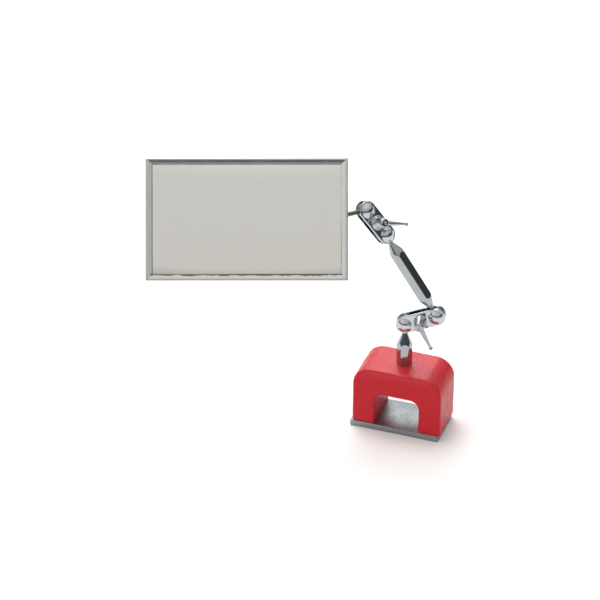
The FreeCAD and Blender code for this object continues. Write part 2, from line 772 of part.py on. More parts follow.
def check():
    """Stops on any object that failed, and on any sub-part that has no valid solid."""
    for item in doc.Objects:
        if {"Invalid", "Error"} & set(item.State):
            raise RuntimeError(f"{item.Name} failed: {item.State}")
    for node, item in NODES.items():
        if item.Shape.isNull() or not item.Shape.isValid() or not item.Shape.Solids:
            raise RuntimeError(f"{node} has no valid solid")


def export():
    os.makedirs("parts", exist_ok=True)
    for node, item in NODES.items():
        item.Shape.exportStep(f"parts/{node}.step")


build()
check()
export()
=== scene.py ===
import json
import math

import bmesh
import bpy
import numpy as np
from mathutils import Matrix, Vector, noise


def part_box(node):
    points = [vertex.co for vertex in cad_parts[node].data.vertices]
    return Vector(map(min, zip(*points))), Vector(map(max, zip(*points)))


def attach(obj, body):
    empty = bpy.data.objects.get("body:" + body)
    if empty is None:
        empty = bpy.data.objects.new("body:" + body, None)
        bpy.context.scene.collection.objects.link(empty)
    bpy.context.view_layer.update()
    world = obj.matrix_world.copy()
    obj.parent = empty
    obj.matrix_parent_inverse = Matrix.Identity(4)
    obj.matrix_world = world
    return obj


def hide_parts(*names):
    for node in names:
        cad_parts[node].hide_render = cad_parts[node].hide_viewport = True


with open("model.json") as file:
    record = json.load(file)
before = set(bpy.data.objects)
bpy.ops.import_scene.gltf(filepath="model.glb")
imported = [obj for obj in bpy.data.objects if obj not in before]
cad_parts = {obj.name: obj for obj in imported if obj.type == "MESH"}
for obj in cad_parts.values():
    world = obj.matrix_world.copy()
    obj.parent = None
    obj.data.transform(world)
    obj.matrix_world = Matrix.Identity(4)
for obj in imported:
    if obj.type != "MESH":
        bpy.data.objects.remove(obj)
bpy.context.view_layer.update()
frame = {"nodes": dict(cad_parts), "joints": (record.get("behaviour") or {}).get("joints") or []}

bl_info = {
    "name": "Magnetic Base Inspection Mirror",
    "version": (1, 0, 0),
    "blender": (4, 5, 0),
    "location": "View3D > Sidebar > Inspection Mirror",
    "description": "Finishes a framed mirror on a ball clamp arm and a red horseshoe magnet",
    "category": "Object",
}

MM = 0.001
WELD = 1e-6

NODES = frame["nodes"]
JOINTS = {joint["name"]: joint for joint in frame["joints"]}


# ---------------------------------------------------------------- places, read from the frame


def joint_at(name):
    return Vector(JOINTS[name]["pos_m"])


def joint_axis(name):
    return Vector(JOINTS[name]["axis"]).normalized()


def points_of(node):
    """A CAD node's vertices as an array, in metres."""
    mesh = NODES[node].data
    points = np.zeros(len(mesh.vertices) * 3)
    mesh.vertices.foreach_get("co", points)
    return points.reshape(-1, 3)


def basis(origin, z_axis, x_axis):
    """A place with its Z along z_axis and its X as near x_axis as that allows."""
    z = Vector(z_axis).normalized()
    x = Vector(x_axis)
    x = (x - z * x.dot(z)).normalized()
    y = z.cross(x)
    turn = Matrix((x, y, z)).transposed().to_4x4()
    return Matrix.Translation(origin) @ turn


def clamp_place(prefix):
    """A clamp's place: X from its first ball to its second, Z along its screw."""
    first, second = {
        "lower": ("lower_clamp_swing", "arm_lower_swing"),
        "upper": ("upper_clamp_swing", "mirror_swing"),
    }[prefix]
    screw = f"{prefix}_lever_turn"
    return basis(joint_at(screw), joint_axis(screw), joint_at(second) - joint_at(first))


def lever_place(prefix):
    """The clamp's place turned so that X runs along its lever."""
    clamp = clamp_place(prefix)
    middle = Vector(points_of(f"{prefix}_lever").mean(axis=0))
    return basis(clamp.translation, clamp.col[2].xyz, middle - clamp.translation)


def stem_place(node, origin, axis):
    """A hexagonal stem's place: Z along it, X towards one of its corners."""
    points = points_of(node) - np.array(origin)
    axis = Vector(axis).normalized()
    along = points @ np.array(axis)
    across = points - np.outer(along, np.array(axis))
    corner = Vector(across[np.argmax(np.linalg.norm(across, axis=1))])
    return basis(origin, axis, corner)


def tray_place():
    """The tray's place: X and Y along its sides, Z out of the glass, its front plane at Z = 0."""
    points = points_of("mirror_frame")
    centre = points.mean(axis=0)
    glass = points_of("mirror_glass")
    spread = np.linalg.eigh(np.cov((glass - glass.mean(axis=0)).T))[1]
    x = Vector(spread[:, 2])
    z = Vector(spread[:, 0])
    x = x if x.x > 0 else -x
    z = z if z.y < 0 else -z
    y = z.cross(x)
    axes = np.array([x, y, z])
    local = (points - centre) @ axes.T
    low, high = local.min(axis=0), local.max(axis=0)
    middle = (low + high) / 2
    origin = centre + axes.T @ np.array([middle[0], middle[1], high[2]])
    return basis(Vector(origin), z, x)


# ---------------------------------------------------------------- sizes and colours


def length(name, description, amount_mm):
    return bpy.props.FloatProperty(
        name=name, description=description, default=amount_mm * MM, unit="LENGTH", precision=5
    )


def colour(name, description, rgb):
    return bpy.props.FloatVectorProperty(
        name=name, description=description, default=(*rgb, 1.0), size=4, subtype="COLOR", min=0, max=1
    )


class ClampSizes(bpy.types.PropertyGroup):
    """Sizes of a double-ball clamp and its lever nut."""

    pitch: length("Ball pitch", "Between the centres of the two balls", 15.2)
    width: length("Plate width", "Across a pressed plate", 8.4)
    gap: length("Plate gap", "Between the two plates", 2.5)
    thick: length("Plate thickness", "Thickness of a plate's web", 0.9)
    dome: length("Dome radius", "Outside of the cup that holds a ball", 3.89)
    cup: length("Cup radius", "Inside of the cup that holds a ball", 3.04)
    dome_blend: length("Dome blend", "How softly a dome runs into its plate", 0.75)
    edge: length("Plate edge", "Rounding of a plate's outer edge", 0.38)
    boss_radius: length("Boss radius", "Foot of the raised boss under the lever nut", 3.0)
    boss_top: length("Boss top radius", "Top of the raised boss", 2.75)
    boss_height: length("Boss height", "Height of the raised boss", 1.3)
    dowel: length("Dowel hole radius", "Small hole beside the boss", 0.5)
    dowel_along: length("Dowel hole along", "Dowel hole from the screw, along the plate", 2.8)
    dowel_across: length("Dowel hole across", "Dowel hole from the screw, across the plate", 2.5)
    hub_radius: length("Nut radius", "Foot of the lever nut", 2.7)
    hub_top: length("Nut top radius", "Top of the lever nut", 2.3)
    hub_height: length("Nut height", "Height of the lever nut", 4.6)
    hub_round: length("Nut rounding", "Rounding of the lever nut's top", 1.0)
    lever_rise: length("Lever rise", "Lever's axis above the nut's foot", 2.3)
    lever_reach: length("Lever reach", "From the screw to the lever's ball end", 12.8)
    lever_root: length("Lever root radius", "Lever beside the nut", 1.15)
    lever_tip: length("Lever tip radius", "Lever beside its ball end", 0.55)
    knob: length("Ball end radius", "Ball end of the lever", 0.9)


class StemSizes(bpy.types.PropertyGroup):
    """Sizes of the hexagonal stems."""

    across: length("Across flats", "Hexagon, across its flats", 6.35)
    neck: length("Neck radius", "Round neck beside a ball", 1.1)
    taper_start: length("Taper start", "From the ball's centre to the thin end of the taper", 4.9)
    taper_end: length("Taper end", "From the ball's centre to the thick end of the taper", 11.6)
    spigot: length("Spigot", "How far a neck runs past the ball's centre", 1.4)
    edge: length("Edge softness", "Softness of the stem's edges", 0.16)


class TraySizes(bpy.types.PropertyGroup):
    """Sizes of the mirror's tray and glass."""

    width: length("Width", "Outside width of the tray", 88.9)
    height: length("Height", "Outside height of the tray", 54.0)
    depth: length("Depth", "Outside depth of the tray", 4.1)
    sheet: length("Sheet", "Thickness of the tray's sheet", 0.5)
    lip: length("Lip", "Width of the lip folded over the glass", 3.0)
    rim: length("Rim", "Width of the lip's rounded outer band", 1.0)
    slope: length("Slope", "Fall of the lip from its rim to the glass", 0.6)
    mitre: length("Mitre gap", "Gap between two lips at a corner", 0.09)
    glass: length("Glass", "Thickness of the glass", 2.0)


class MagnetSizes(bpy.types.PropertyGroup):
    """Sizes of the cast surface of the magnet."""

    grain: length("Mesh grain", "Voxel of the cast surface", 0.38)
    lumps: length("Casting lumps", "Height of the broad unevenness under the paint", 0.07)
    lump_pitch: length("Lump pitch", "Distance between the broad lumps", 3.2)
    hammer: length("Hammer finish", "Height of the paint's hammered ripples", 0.035)
    hammer_pitch: length("Hammer pitch", "Distance between the hammered ripples", 0.95)
    keeper_edge: length("Keeper edge", "Broken edge of the keeper", 0.3)


class Colours(bpy.types.PropertyGroup):
    """Colours of the finishes."""

    paint: colour("Paint", "Red enamel on the magnet", (0.58, 0.003, 0.015))
    paint_pale: colour("Paint, pale", "Red enamel where it is thin and chalky", (0.60, 0.045, 0.04))
    chrome: colour("Chrome", "Bright plating on clamps and stems", (0.53, 0.565, 0.60))
    stem: colour("Stem", "Plating on the hexagonal stems", (0.385, 0.41, 0.43))
    chrome_worn: colour("Chrome, worn", "Plating where it is rubbed", (0.52, 0.53, 0.53))
    steel: colour("Steel", "Plain ground steel", (0.25, 0.27, 0.285))
    rod: colour("Rod", "Oiled steel rod", (0.17, 0.18, 0.155))
    tray: colour("Tray", "Polished steel tray", (0.62, 0.61, 0.60))
    silver: colour("Silvering", "Silvered glass", (0.83, 0.825, 0.805))
    glass_edge: colour("Glass edge", "Greenish ground edge of the glass", (0.20, 0.30, 0.26))
    board: colour("Board", "Grey board pad behind the glass", (0.18, 0.165, 0.145))
    # Painted shadow colour: the dark line laid in the seam where the lip meets the glass. It stands for
    # the lip's shadow and its reflection in the glass.
    seam_shadow_tone: colour("Seam Shadow", "Old adhesive in the tray's seam", (0.055, 0.035, 0.018))
    floor: colour("Floor", "Pale studio floor", (0.93, 0.935, 0.935))


GROUPS = {
    "mirror_clamp_sizes": ClampSizes,
    "mirror_stem_sizes": StemSizes,
    "mirror_tray_sizes": TraySizes,
    "mirror_magnet_sizes": MagnetSizes,
    "mirror_colours": Colours,
}


def sizes_of(context, name):
    return getattr(context.scene, f"mirror_{name}_sizes")


# ---------------------------------------------------------------- mesh work


def new_piece(name, bm, place, material, sharp=math.radians(32)):
    """Turns a bmesh in a place's own axes into a finished object at the origin."""
    bmesh.ops.transform(bm, matrix=place, verts=bm.verts)
    bmesh.ops.recalc_face_normals(bm, faces=bm.faces)
    for face in bm.faces:
        face.smooth = True
    for edge in bm.edges:
        edge.smooth = not edge.is_manifold or edge.calc_face_angle(0) < sharp
    mesh = bpy.data.meshes.new(name)
    bm.to_mesh(mesh)
    bm.free()
    piece = bpy.data.objects.new(name, mesh)
    bpy.context.scene.collection.objects.link(piece)
    mesh.materials.append(material)
    return piece


def stand_for(piece, node, body):
    """Makes a piece stand for a CAD node: puts it on its body and hides the node."""
    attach(piece, body)
    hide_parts(node)
    return piece


def soft_max(a, b, width):
    """The larger of two heights, rounded where they meet."""
    near = max(width - abs(a - b), 0) / width if width > 0 else 0
    return max(a, b) + near * near * width / 4


def soft_min(a, b, width):
    return -soft_max(-a, -b, width)


def spun(outline, steps):
    """A bmesh turned about Z from an outline of (radius, height) points, low to high."""
    bm = bmesh.new()
    points = [bm.verts.new((radius, 0, height)) for radius, height in outline]
    edges = [bm.edges.new(pair) for pair in zip(points, points[1:])]
    bmesh.ops.spin(
        bm, geom=points + edges, cent=(0, 0, 0), axis=(0, 0, 1), angle=math.tau, steps=steps,
        use_merge=True, use_duplicate=False,
    )
    bmesh.ops.remove_doubles(bm, verts=bm.verts, dist=WELD)
    bmesh.ops.holes_fill(bm, edges=[edge for edge in bm.edges if edge.is_boundary], sides=0)
    return bm


def arc(centre, radius, start, end, count):
    """Points of an arc in (radius, height), with its angles in degrees from the radius axis."""
    angles = [math.radians(start + (end - start) * step / count) for step in range(count + 1)]
    return [(centre[0] + radius * math.cos(a), centre[1] + radius * math.sin(a)) for a in angles]


def applied(piece):
    """Replaces a piece's mesh with what its modifiers make of it."""
    graph = bpy.context.evaluated_depsgraph_get()
    mesh = bpy.data.meshes.new_from_object(piece.evaluated_get(graph))
    old = piece.data
    piece.modifiers.clear()
    piece.data = mesh
    bpy.data.meshes.remove(old)
    return piece


def drill(piece, place, radius, low, high, x, y):
    """Cuts a round hole, along Z of a place, through a piece."""
    bm = bmesh.new()
    bmesh.ops.create_cone(
        bm, cap_ends=True, segments=32, radius1=radius, radius2=radius, depth=high - low
    )
    bmesh.ops.translate(bm, verts=bm.verts, vec=(x, y, (low + high) / 2))
    cutter = new_piece("drill_bit", bm, place, piece.data.materials[0])
    hole = piece.modifiers.new("drilled", "BOOLEAN")
    hole.operation = "DIFFERENCE"
    hole.solver = "EXACT"
    hole.object = cutter
    applied(piece)
    bpy.data.meshes.remove(cutter.data)


def raise_boss(plate, raised):
    """Joins a boss to its plate's mesh."""
    bm = bmesh.new()
    bm.from_mesh(plate.data)
    bm.from_mesh(raised.data)
    bm.to_mesh(plate.data)
    bm.free()
    bpy.data.meshes.remove(raised.data)


def keep_cad(node, material, edge_mm, shade=math.radians(30)):
    """Leaves a CAD node showing, with soft edges, smooth shading and its own finish."""
    piece = NODES[node]
    piece.data.materials.clear()
    piece.data.materials.append(material)
    piece.data.shade_smooth()
    weld = piece.modifiers.new("weld", "WELD")
    weld.merge_threshold = WELD
    bevel = piece.modifiers.new("soft edges", "BEVEL")
    bevel.width = edge_mm * MM
    bevel.segments = 2
    bevel.limit_method = "ANGLE"
    bevel.angle_limit = shade
    bevel.harden_normals = True
    return piece


# ---------------------------------------------------------------- shader helpers


class Shader:
    """A material's node tree with short calls to add and join nodes."""

    def __init__(self, tree):
        self.tree = tree

    def add(self, kind, inputs=None, **settings):
        node = self.tree.nodes.new(kind)
        for name, amount in settings.items():
            setattr(node, name, amount)
        for name, source in (inputs or {}).items():
            self.join(source, node.inputs[name])
        return node

    def join(self, source, socket):
        """Joins an output to a socket, or sets the socket's own value."""
        if isinstance(source, bpy.types.NodeSocket):
            self.tree.links.new(source, socket)
        else:
            socket.default_value = source

    def maths(self, operation, a, b=0.0, clamp=False):
        node = self.add("ShaderNodeMath", {0: a, 1: b}, operation=operation, use_clamp=clamp)
        return node.outputs[0]

    def scaled_sum(self, a, factor, plus):
        node = self.add("ShaderNodeMath", {0: a, 1: factor, 2: plus}, operation="MULTIPLY_ADD")
        return node.outputs[0]

    def mix(self, share, a, b):
        node = self.add("ShaderNodeMix", data_type="RGBA")
        self.join(share, node.inputs[0])
        self.join(a, node.inputs[6])
        self.join(b, node.inputs[7])
        return node.outputs[2]

    def ramp(self, source, *stops):
        """A grey ramp with (position, value) stops."""
        node = self.add("ShaderNodeValToRGB", {0: source})
        band = node.color_ramp
        while len(band.elements) < len(stops):
            band.elements.new(0.5)
        for element, (position, value) in zip(band.elements, stops):
            element.position = position
            element.color = (*([value] * 3), 1) if isinstance(value, (int, float)) else (*value, 1)
        return node.outputs[0]

    def noise(self, where, scale, detail=3.0, rough=0.5, warp=0.0):
        node = self.add(
            "ShaderNodeTexNoise",
            {"Vector": where, "Scale": scale, "Detail": detail, "Roughness": rough, "Distortion": warp},
        )
        return node.outputs["Fac"]


def new_group(name, inputs, outputs):
    """An empty shader node group with named sockets."""
    tree = bpy.data.node_groups.new(name, "ShaderNodeTree")
    for label, kind, default in inputs:
        socket = tree.interface.new_socket(label, in_out="INPUT", socket_type=f"NodeSocket{kind}")
        if default is not None:
            socket.default_value = default
    for label, kind in outputs:
        tree.interface.new_socket(label, in_out="OUTPUT", socket_type=f"NodeSocket{kind}")
    return tree, tree.nodes.new("NodeGroupInput"), tree.nodes.new("NodeGroupOutput")


def smudge_group():
    """Finger marks and fine dust: a roughness and a mask that vary over handled metal."""
    tree, given, made = new_group(
        "Handling Marks",
        [
            ("Vector", "Vector", None), ("Scale", "Float", 120.0),
            ("Clean", "Float", 0.06), ("Marked", "Float", 0.2),
        ],
        [("Roughness", "Float"), ("Mask", "Float")],
    )
    s = Shader(tree)
    broad = s.noise(given.outputs["Vector"], given.outputs["Scale"], 4.0, 0.6, 0.6)
    fine_scale = s.maths("MULTIPLY", given.outputs["Scale"], 9.0)
    fine = s.noise(given.outputs["Vector"], fine_scale, 2.0, 0.6)
    patches = s.ramp(broad, (0.42, 0.0), (0.72, 1.0))
    mask = s.maths("MULTIPLY", patches, s.ramp(fine, (0.3, 0.35), (0.7, 1.0)))
    reach = s.maths("SUBTRACT", given.outputs["Marked"], given.outputs["Clean"])
    rough = s.maths("ADD", given.outputs["Clean"], s.maths("MULTIPLY", mask, reach))
    s.join(rough, made.inputs["Roughness"])
    s.join(mask, made.inputs["Mask"])
    return tree


def scratch_group():
    """Hair-fine scratches: noise stretched along one axis, as a height and a mask."""
    tree, given, made = new_group(
        "Fine Scratches",
        [
            ("Vector", "Vector", None), ("Stretch", "Vector", (60.0, 4000.0, 4000.0)),
            ("Share", "Float", 0.62),
        ],
        [("Height", "Float"), ("Mask", "Float")],
    )
    s = Shader(tree)
    where = s.add("ShaderNodeVectorMath", {0: given.outputs["Vector"], 1: given.outputs["Stretch"]},
                  operation="MULTIPLY").outputs[0]
    lines = s.noise(where, 1.0, 2.0, 0.7)
    over = s.maths("SUBTRACT", lines, given.outputs["Share"])
    mask = s.maths("MULTIPLY", over, 9.0, clamp=True)
    s.join(lines, made.inputs["Height"])
    s.join(mask, made.inputs["Mask"])
    return tree


def wear_group():
    """Rubbed edges: a mask that is high where the surface turns sharply outwards."""
    tree, given, made = new_group(
        "Rubbed Edges",
        [("Vector", "Vector", None), ("Scale", "Float", 900.0), ("Amount", "Float", 0.5)],
        [("Mask", "Float")],
    )
    s = Shader(tree)
    shape = s.add("ShaderNodeNewGeometry").outputs["Pointiness"]
    edge = s.ramp(shape, (0.52, 0.0), (0.60, 1.0))
    patchy = s.noise(given.outputs["Vector"], given.outputs["Scale"], 4.0, 0.65)
    broken = s.ramp(patchy, (0.38, 0.0), (0.62, 1.0))
    mask = s.maths("MULTIPLY", s.maths("MULTIPLY", edge, broken), given.outputs["Amount"])
    s.join(mask, made.inputs["Mask"])
    return tree


def new_material(name):
    """A material holding a Principled BSDF, its helper and the Object coordinates."""
    material = bpy.data.materials.new(name)
    material.use_nodes = True
    s = Shader(material.node_tree)
    principled = material.node_tree.nodes["Principled BSDF"]
    where = s.add("ShaderNodeTexCoord").outputs["Object"]
    return material, s, principled, where


def along(s, where, place):
    """Object coordinates turned into a place's own axes, so that a grain follows the piece."""
    turn = place.inverted().to_euler()
    mapping = s.add("ShaderNodeMapping", {"Vector": where}, vector_type="POINT")
    mapping.inputs["Location"].default_value = place.inverted().translation
    mapping.inputs["Rotation"].default_value = turn
    return mapping.outputs[0]


def place_group(s, group, **inputs):
    node = s.add("ShaderNodeGroup", node_tree=bpy.data.node_groups[group])
    for name, source in inputs.items():
        s.join(source, node.inputs[name])
    return node


def toned(tone, factor):
    """A colour made darker or lighter, no brighter than white."""
    return [min(channel * factor, 1.0) for channel in tone[:3]] + [1.0]


def bump(s, height, strength, distance_mm):
    node = s.add(
        "ShaderNodeBump", {"Strength": strength, "Distance": distance_mm * MM, "Height": height}
    )
    return node.outputs[0]


# ---------------------------------------------------------------- finishes


def plated(name, bright, worn, clean=0.05, marked=0.22, place=None):
    """Bright nickel-chrome plating: finger marks, fine scratches and rubbed edges."""
    material, s, surface, where = new_material(name)
    local = along(s, where, place) if place is not None else where
    marks = place_group(s, "Handling Marks", Vector=where, Scale=150.0, Clean=clean, Marked=marked)
    lines = place_group(s, "Fine Scratches", Vector=local, Stretch=(2600.0, 2600.0, 160.0), Share=0.63)
    rubbed = place_group(s, "Rubbed Edges", Vector=where, Scale=1500.0, Amount=0.55)
    tone = s.mix(s.maths("MULTIPLY", marks.outputs["Mask"], 0.35), bright, worn)
    tone = s.mix(rubbed.outputs["Mask"], tone, worn)
    s.join(tone, surface.inputs["Base Color"])
    scratched = s.maths("MULTIPLY", lines.outputs["Mask"], 0.10)
    rough = s.maths("ADD", marks.outputs["Roughness"], scratched)
    rough = s.maths("ADD", rough, s.maths("MULTIPLY", rubbed.outputs["Mask"], 0.15))
    s.join(rough, surface.inputs["Roughness"])
    surface.inputs["Metallic"].default_value = 1.0
    s.join(bump(s, lines.outputs["Height"], 0.12, 0.006), surface.inputs["Normal"])
    return material


def painted_seam_shadow(material, place, half_width, half_height, lip, seam_shadow_tone):
    """Darkens a tray's finish with painted shadow in the seam between its lip and the glass."""
    s = Shader(material.node_tree)
    surface = material.node_tree.nodes["Principled BSDF"]
    where = s.add("ShaderNodeTexCoord").outputs["Object"]
    local = s.add("ShaderNodeSeparateXYZ", {0: along(s, where, place)})
    across = s.maths("SUBTRACT", s.maths("ABSOLUTE", local.outputs["X"]), half_width - lip)
    up = s.maths("SUBTRACT", s.maths("ABSOLUTE", local.outputs["Y"]), half_height - lip)
    from_seam = s.maths("MAXIMUM", across, up)
    # Painted shadow: a ragged dark band along the lip's inner edge, widest along the bottom. It stands
    # for the lip's shadow and its reflection in the glass.
    widest, ragged, deepest = 1.5 * MM, 0.10 * MM, 1.5 * MM
    wander = s.maths("MULTIPLY", s.noise(where, 260.0, 3.0, 0.6), widest)
    below = s.maths("LESS_THAN", local.outputs["Y"], lip - half_height + ragged)
    reach = s.scaled_sum(below, 0.82, 0.18)
    edge = s.maths("SUBTRACT", s.maths("MULTIPLY", wander, reach), from_seam)
    near = s.maths("DIVIDE", edge, ragged, clamp=True)
    near = s.maths("MULTIPLY", near, s.maths("GREATER_THAN", local.outputs["Z"], -deepest))
    old = surface.inputs["Base Color"].links[0].from_socket
    s.join(s.mix(s.maths("MULTIPLY", near, 0.85), old, seam_shadow_tone), surface.inputs["Base Color"])
    return material


GLOSS_FROM = 28.5 * MM
GLOSS_OVER = 3 * MM


def enamel(name, deep, pale):
    """Hammered red enamel over a rough casting, glossiest on its crown."""
    material, s, surface, where = new_material(name)
    bubbles = {"Vector": where, "Scale": 1150.0, "Randomness": 1.0}
    cells = s.add("ShaderNodeTexVoronoi", bubbles, feature="SMOOTH_F1").outputs["Distance"]
    grit = s.noise(where, 2300.0, 4.0, 0.7)
    broad = s.noise(where, 130.0, 3.0, 0.55, 0.4)
    height = s.maths("ADD", s.maths("MULTIPLY", cells, 0.8), s.maths("MULTIPLY", grit, 0.45))
    speckle = s.ramp(grit, (0.46, 0.0), (0.66, 1.0))
    chalk = s.maths("MULTIPLY", speckle, s.ramp(broad, (0.35, 0.25), (0.7, 0.9)))
    rubbed = place_group(s, "Rubbed Edges", Vector=where, Scale=700.0, Amount=0.5)
    tone = s.mix(s.maths("MULTIPLY", chalk, 0.45), deep, pale)
    tone = s.mix(rubbed.outputs["Mask"], tone, pale)
    s.join(tone, surface.inputs["Base Color"])
    s.join(s.ramp(broad, (0.3, 0.30), (0.75, 0.44)), surface.inputs["Roughness"])
    surface.inputs["Specular IOR Level"].default_value = 0.25
    upward = s.add("ShaderNodeSeparateXYZ", {0: where}).outputs["Z"]
    lit = s.maths("DIVIDE", s.maths("SUBTRACT", upward, GLOSS_FROM), GLOSS_OVER, clamp=True)
    s.join(s.scaled_sum(lit, 0.45, 0.06), surface.inputs["Coat Weight"])
    surface.inputs["Coat Roughness"].default_value = 0.12
    s.join(bump(s, height, 0.6, 0.16), surface.inputs["Normal"])
    s.join(bump(s, height, 1.0, 0.28), surface.inputs["Coat Normal"])
    return material


def ground_steel(name, tone, place, stretch, rough=0.30, stains=0.5):
    """Plain ground steel with its grain along one axis and faint oil stains."""
    material, s, surface, where = new_material(name)
    local = along(s, where, place)
    lines = place_group(s, "Fine Scratches", Vector=local, Stretch=stretch, Share=0.5)
    marks = place_group(s, "Handling Marks", Vector=where, Scale=90.0, Clean=rough, Marked=rough + 0.18)
    rubbed = place_group(s, "Rubbed Edges", Vector=where, Scale=900.0, Amount=0.6)
    dark, light = toned(tone, 0.55), toned(tone, 1.5)
    body = s.mix(s.maths("MULTIPLY", marks.outputs["Mask"], stains), tone, dark)
    body = s.mix(s.maths("MULTIPLY", lines.outputs["Mask"], 0.25), body, light)
    s.join(s.mix(rubbed.outputs["Mask"], body, light), surface.inputs["Base Color"])
    s.join(marks.outputs["Roughness"], surface.inputs["Roughness"])
    surface.inputs["Metallic"].default_value = 1.0
    s.join(bump(s, lines.outputs["Height"], 0.35, 0.02), surface.inputs["Normal"])
    return material


def silvered(name, tone):
    """The mirror: silvered glass with a few specks and a faint film of wiping."""
    material, s, surface, where = new_material(name)
    film = s.noise(where, 38.0, 4.0, 0.55, 1.2)
    specks = s.ramp(s.noise(where, 1500.0, 2.0, 0.5), (0.76, 0.0), (0.80, 1.0))
    wiped = s.maths("MULTIPLY", film, 0.4)
    s.join(s.mix(wiped, tone, toned(tone, 0.93)), surface.inputs["Base Color"])
    rough = s.maths("ADD", s.ramp(film, (0.4, 0.015), (0.8, 0.05)), s.maths("MULTIPLY", specks, 0.25))
    s.join(rough, surface.inputs["Roughness"])
    surface.inputs["Metallic"].default_value = 1.0
    surface.inputs["Coat Weight"].default_value = 0.6
    surface.inputs["Coat Roughness"].default_value = 0.01
    return material


def ground_glass(name, tone):
    """Greenish ground edge of the glass."""
    material, s, surface, where = new_material(name)
    chips = s.noise(where, 1800.0, 4.0, 0.65)
    s.join(s.mix(chips, tone, toned(tone, 1.8)), surface.inputs["Base Color"])
    s.join(s.ramp(chips, (0.3, 0.2), (0.7, 0.45)), surface.inputs["Roughness"])
    s.join(bump(s, chips, 0.4, 0.05), surface.inputs["Normal"])
    return material


def fibre_board(name, tone):
    """Grey fibre board."""
    material, s, surface, where = new_material(name)
    fibres = place_group(s, "Fine Scratches", Vector=where, Stretch=(300.0, 2500.0, 900.0), Share=0.5)
    s.join(s.mix(fibres.outputs["Mask"], tone, toned(tone, 1.4)), surface.inputs["Base Color"])
    surface.inputs["Roughness"].default_value = 0.85
    s.join(bump(s, fibres.outputs["Height"], 0.5, 0.05), surface.inputs["Normal"])
    return material


FINISHES = {}


def make_finishes(context):
    """Builds the node groups and every finish."""
    c = context.scene.mirror_colours
    smudge_group()
    scratch_group()
    wear_group()
    arm = stem_place("hex_arm", joint_at("arm_lower_spin"), arm_direction())
    keeper_low, keeper_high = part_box("keeper_plate")
    keeper = Matrix.Translation((keeper_low + keeper_high) / 2)
    tray = tray_place()
    t = sizes_of(context, "tray")
    chrome, stem, worn, steel = list(c.chrome), list(c.stem), list(c.chrome_worn), list(c.steel)
    FINISHES.update(
        paint=enamel("Red Hammered Enamel", list(c.paint), list(c.paint_pale)),
        keeper=ground_steel("Ground Keeper Steel", steel, keeper, (120.0, 1400.0, 1400.0), 0.42),
        stem=plated("Plated Stem", stem, worn, 0.06, 0.2, arm),
        ball=plated("Plated Ball", chrome, worn, 0.04, 0.15),
        lower_clamp=plated("Plated Lower Clamp", chrome, worn, 0.05, 0.2, clamp_place("lower")),
        upper_clamp=plated("Plated Upper Clamp", chrome, worn, 0.05, 0.2, clamp_place("upper")),
        lever=plated("Plated Lever", stem, worn, 0.07, 0.25),
        fixing=ground_steel("Screw Steel", steel, keeper, (900.0, 900.0, 900.0), 0.32),
        rod=ground_steel("Oiled Rod Steel", list(c.rod), tray, (80.0, 2500.0, 2500.0), 0.24, 0.7),
        bracket=ground_steel("Bracket Steel", steel, tray, (150.0, 2600.0, 2600.0), 0.28),
        # The tray's plating, with painted shadow in the seam where the lip meets the glass.
        tray=painted_seam_shadow(
            plated("Polished Tray", list(c.tray), worn, 0.10, 0.24, tray),
            tray, t.width / 2, t.height / 2, t.lip, list(c.seam_shadow_tone),
        ),
        silver=silvered("Silvered Glass", list(c.silver)),
        glass_edge=ground_glass("Ground Glass Edge", list(c.glass_edge)),
        board=fibre_board("Fibre Board", list(c.board)),
    )


# ---------------------------------------------------------------- magnet and keeper


def arm_direction():
    return joint_at("arm_upper_spin") - joint_at("arm_lower_spin")


def merged_copy(node):
    """A bmesh of a CAD node with its loose triangles joined."""
    bm = bmesh.new()
    bm.from_mesh(NODES[node].data)
    bmesh.ops.remove_doubles(bm, verts=bm.verts, dist=WELD)
    return bm


class MIRROR_OT_magnet(bpy.types.Operator):
    """Casts the horseshoe magnet's uneven, hammered surface over its CAD shape"""

    bl_idname = "mirror.magnet"
    bl_label = "Magnet"

    def execute(self, context):
        sizes = sizes_of(context, "magnet")
        bm = merged_copy("horseshoe_magnet")
        piece = new_piece("magnet_casting", bm, Matrix(), FINISHES["paint"])
        cast = piece.modifiers.new("casting", "REMESH")
        cast.mode = "VOXEL"
        cast.voxel_size = sizes.grain
        cast.use_smooth_shade = True
        soften = piece.modifiers.new("soften", "SMOOTH")
        soften.factor = 0.5
        soften.iterations = 5
        applied(piece)
        low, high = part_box("horseshoe_magnet")
        cast_at = [vertex.co.copy() for vertex in piece.data.vertices]
        outward = [vertex.normal.copy() for vertex in piece.data.vertices]
        for vertex, at, normal in zip(piece.data.vertices, cast_at, outward):
            lump = noise.noise(at / sizes.lump_pitch) * sizes.lumps
            ripple = noise.noise(at / sizes.hammer_pitch) * sizes.hammer
            moved = at + normal * (lump + ripple - sizes.lumps / 2)
            vertex.co = Vector(
                min(max(part, least), most) for part, least, most in zip(moved, low, high)
            )
        stand_for(piece, "horseshoe_magnet", "base")
        return {"FINISHED"}


class MIRROR_OT_keeper(bpy.types.Operator):
    """Cuts the keeper: a bar of ground steel with broken edges"""

    bl_idname = "mirror.keeper"
    bl_label = "Keeper"

    def execute(self, context):
        sizes = sizes_of(context, "magnet")
        low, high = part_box("keeper_plate")
        bm = bmesh.new()
        bmesh.ops.create_cube(bm, size=1.0)
        bmesh.ops.scale(bm, vec=high - low, verts=bm.verts)
        bmesh.ops.bevel(
            bm, geom=bm.edges, offset=sizes.keeper_edge, offset_type="OFFSET", affect="EDGES",
            segments=3, profile=0.5, material=-1,
        )
        centre = Matrix.Translation((low + high) / 2)
        piece = new_piece("keeper_bar", bm, centre, FINISHES["keeper"], math.radians(40))
        stand_for(piece, "keeper_plate", "keeper")
        return {"FINISHED"}


# ---------------------------------------------------------------- stems and balls


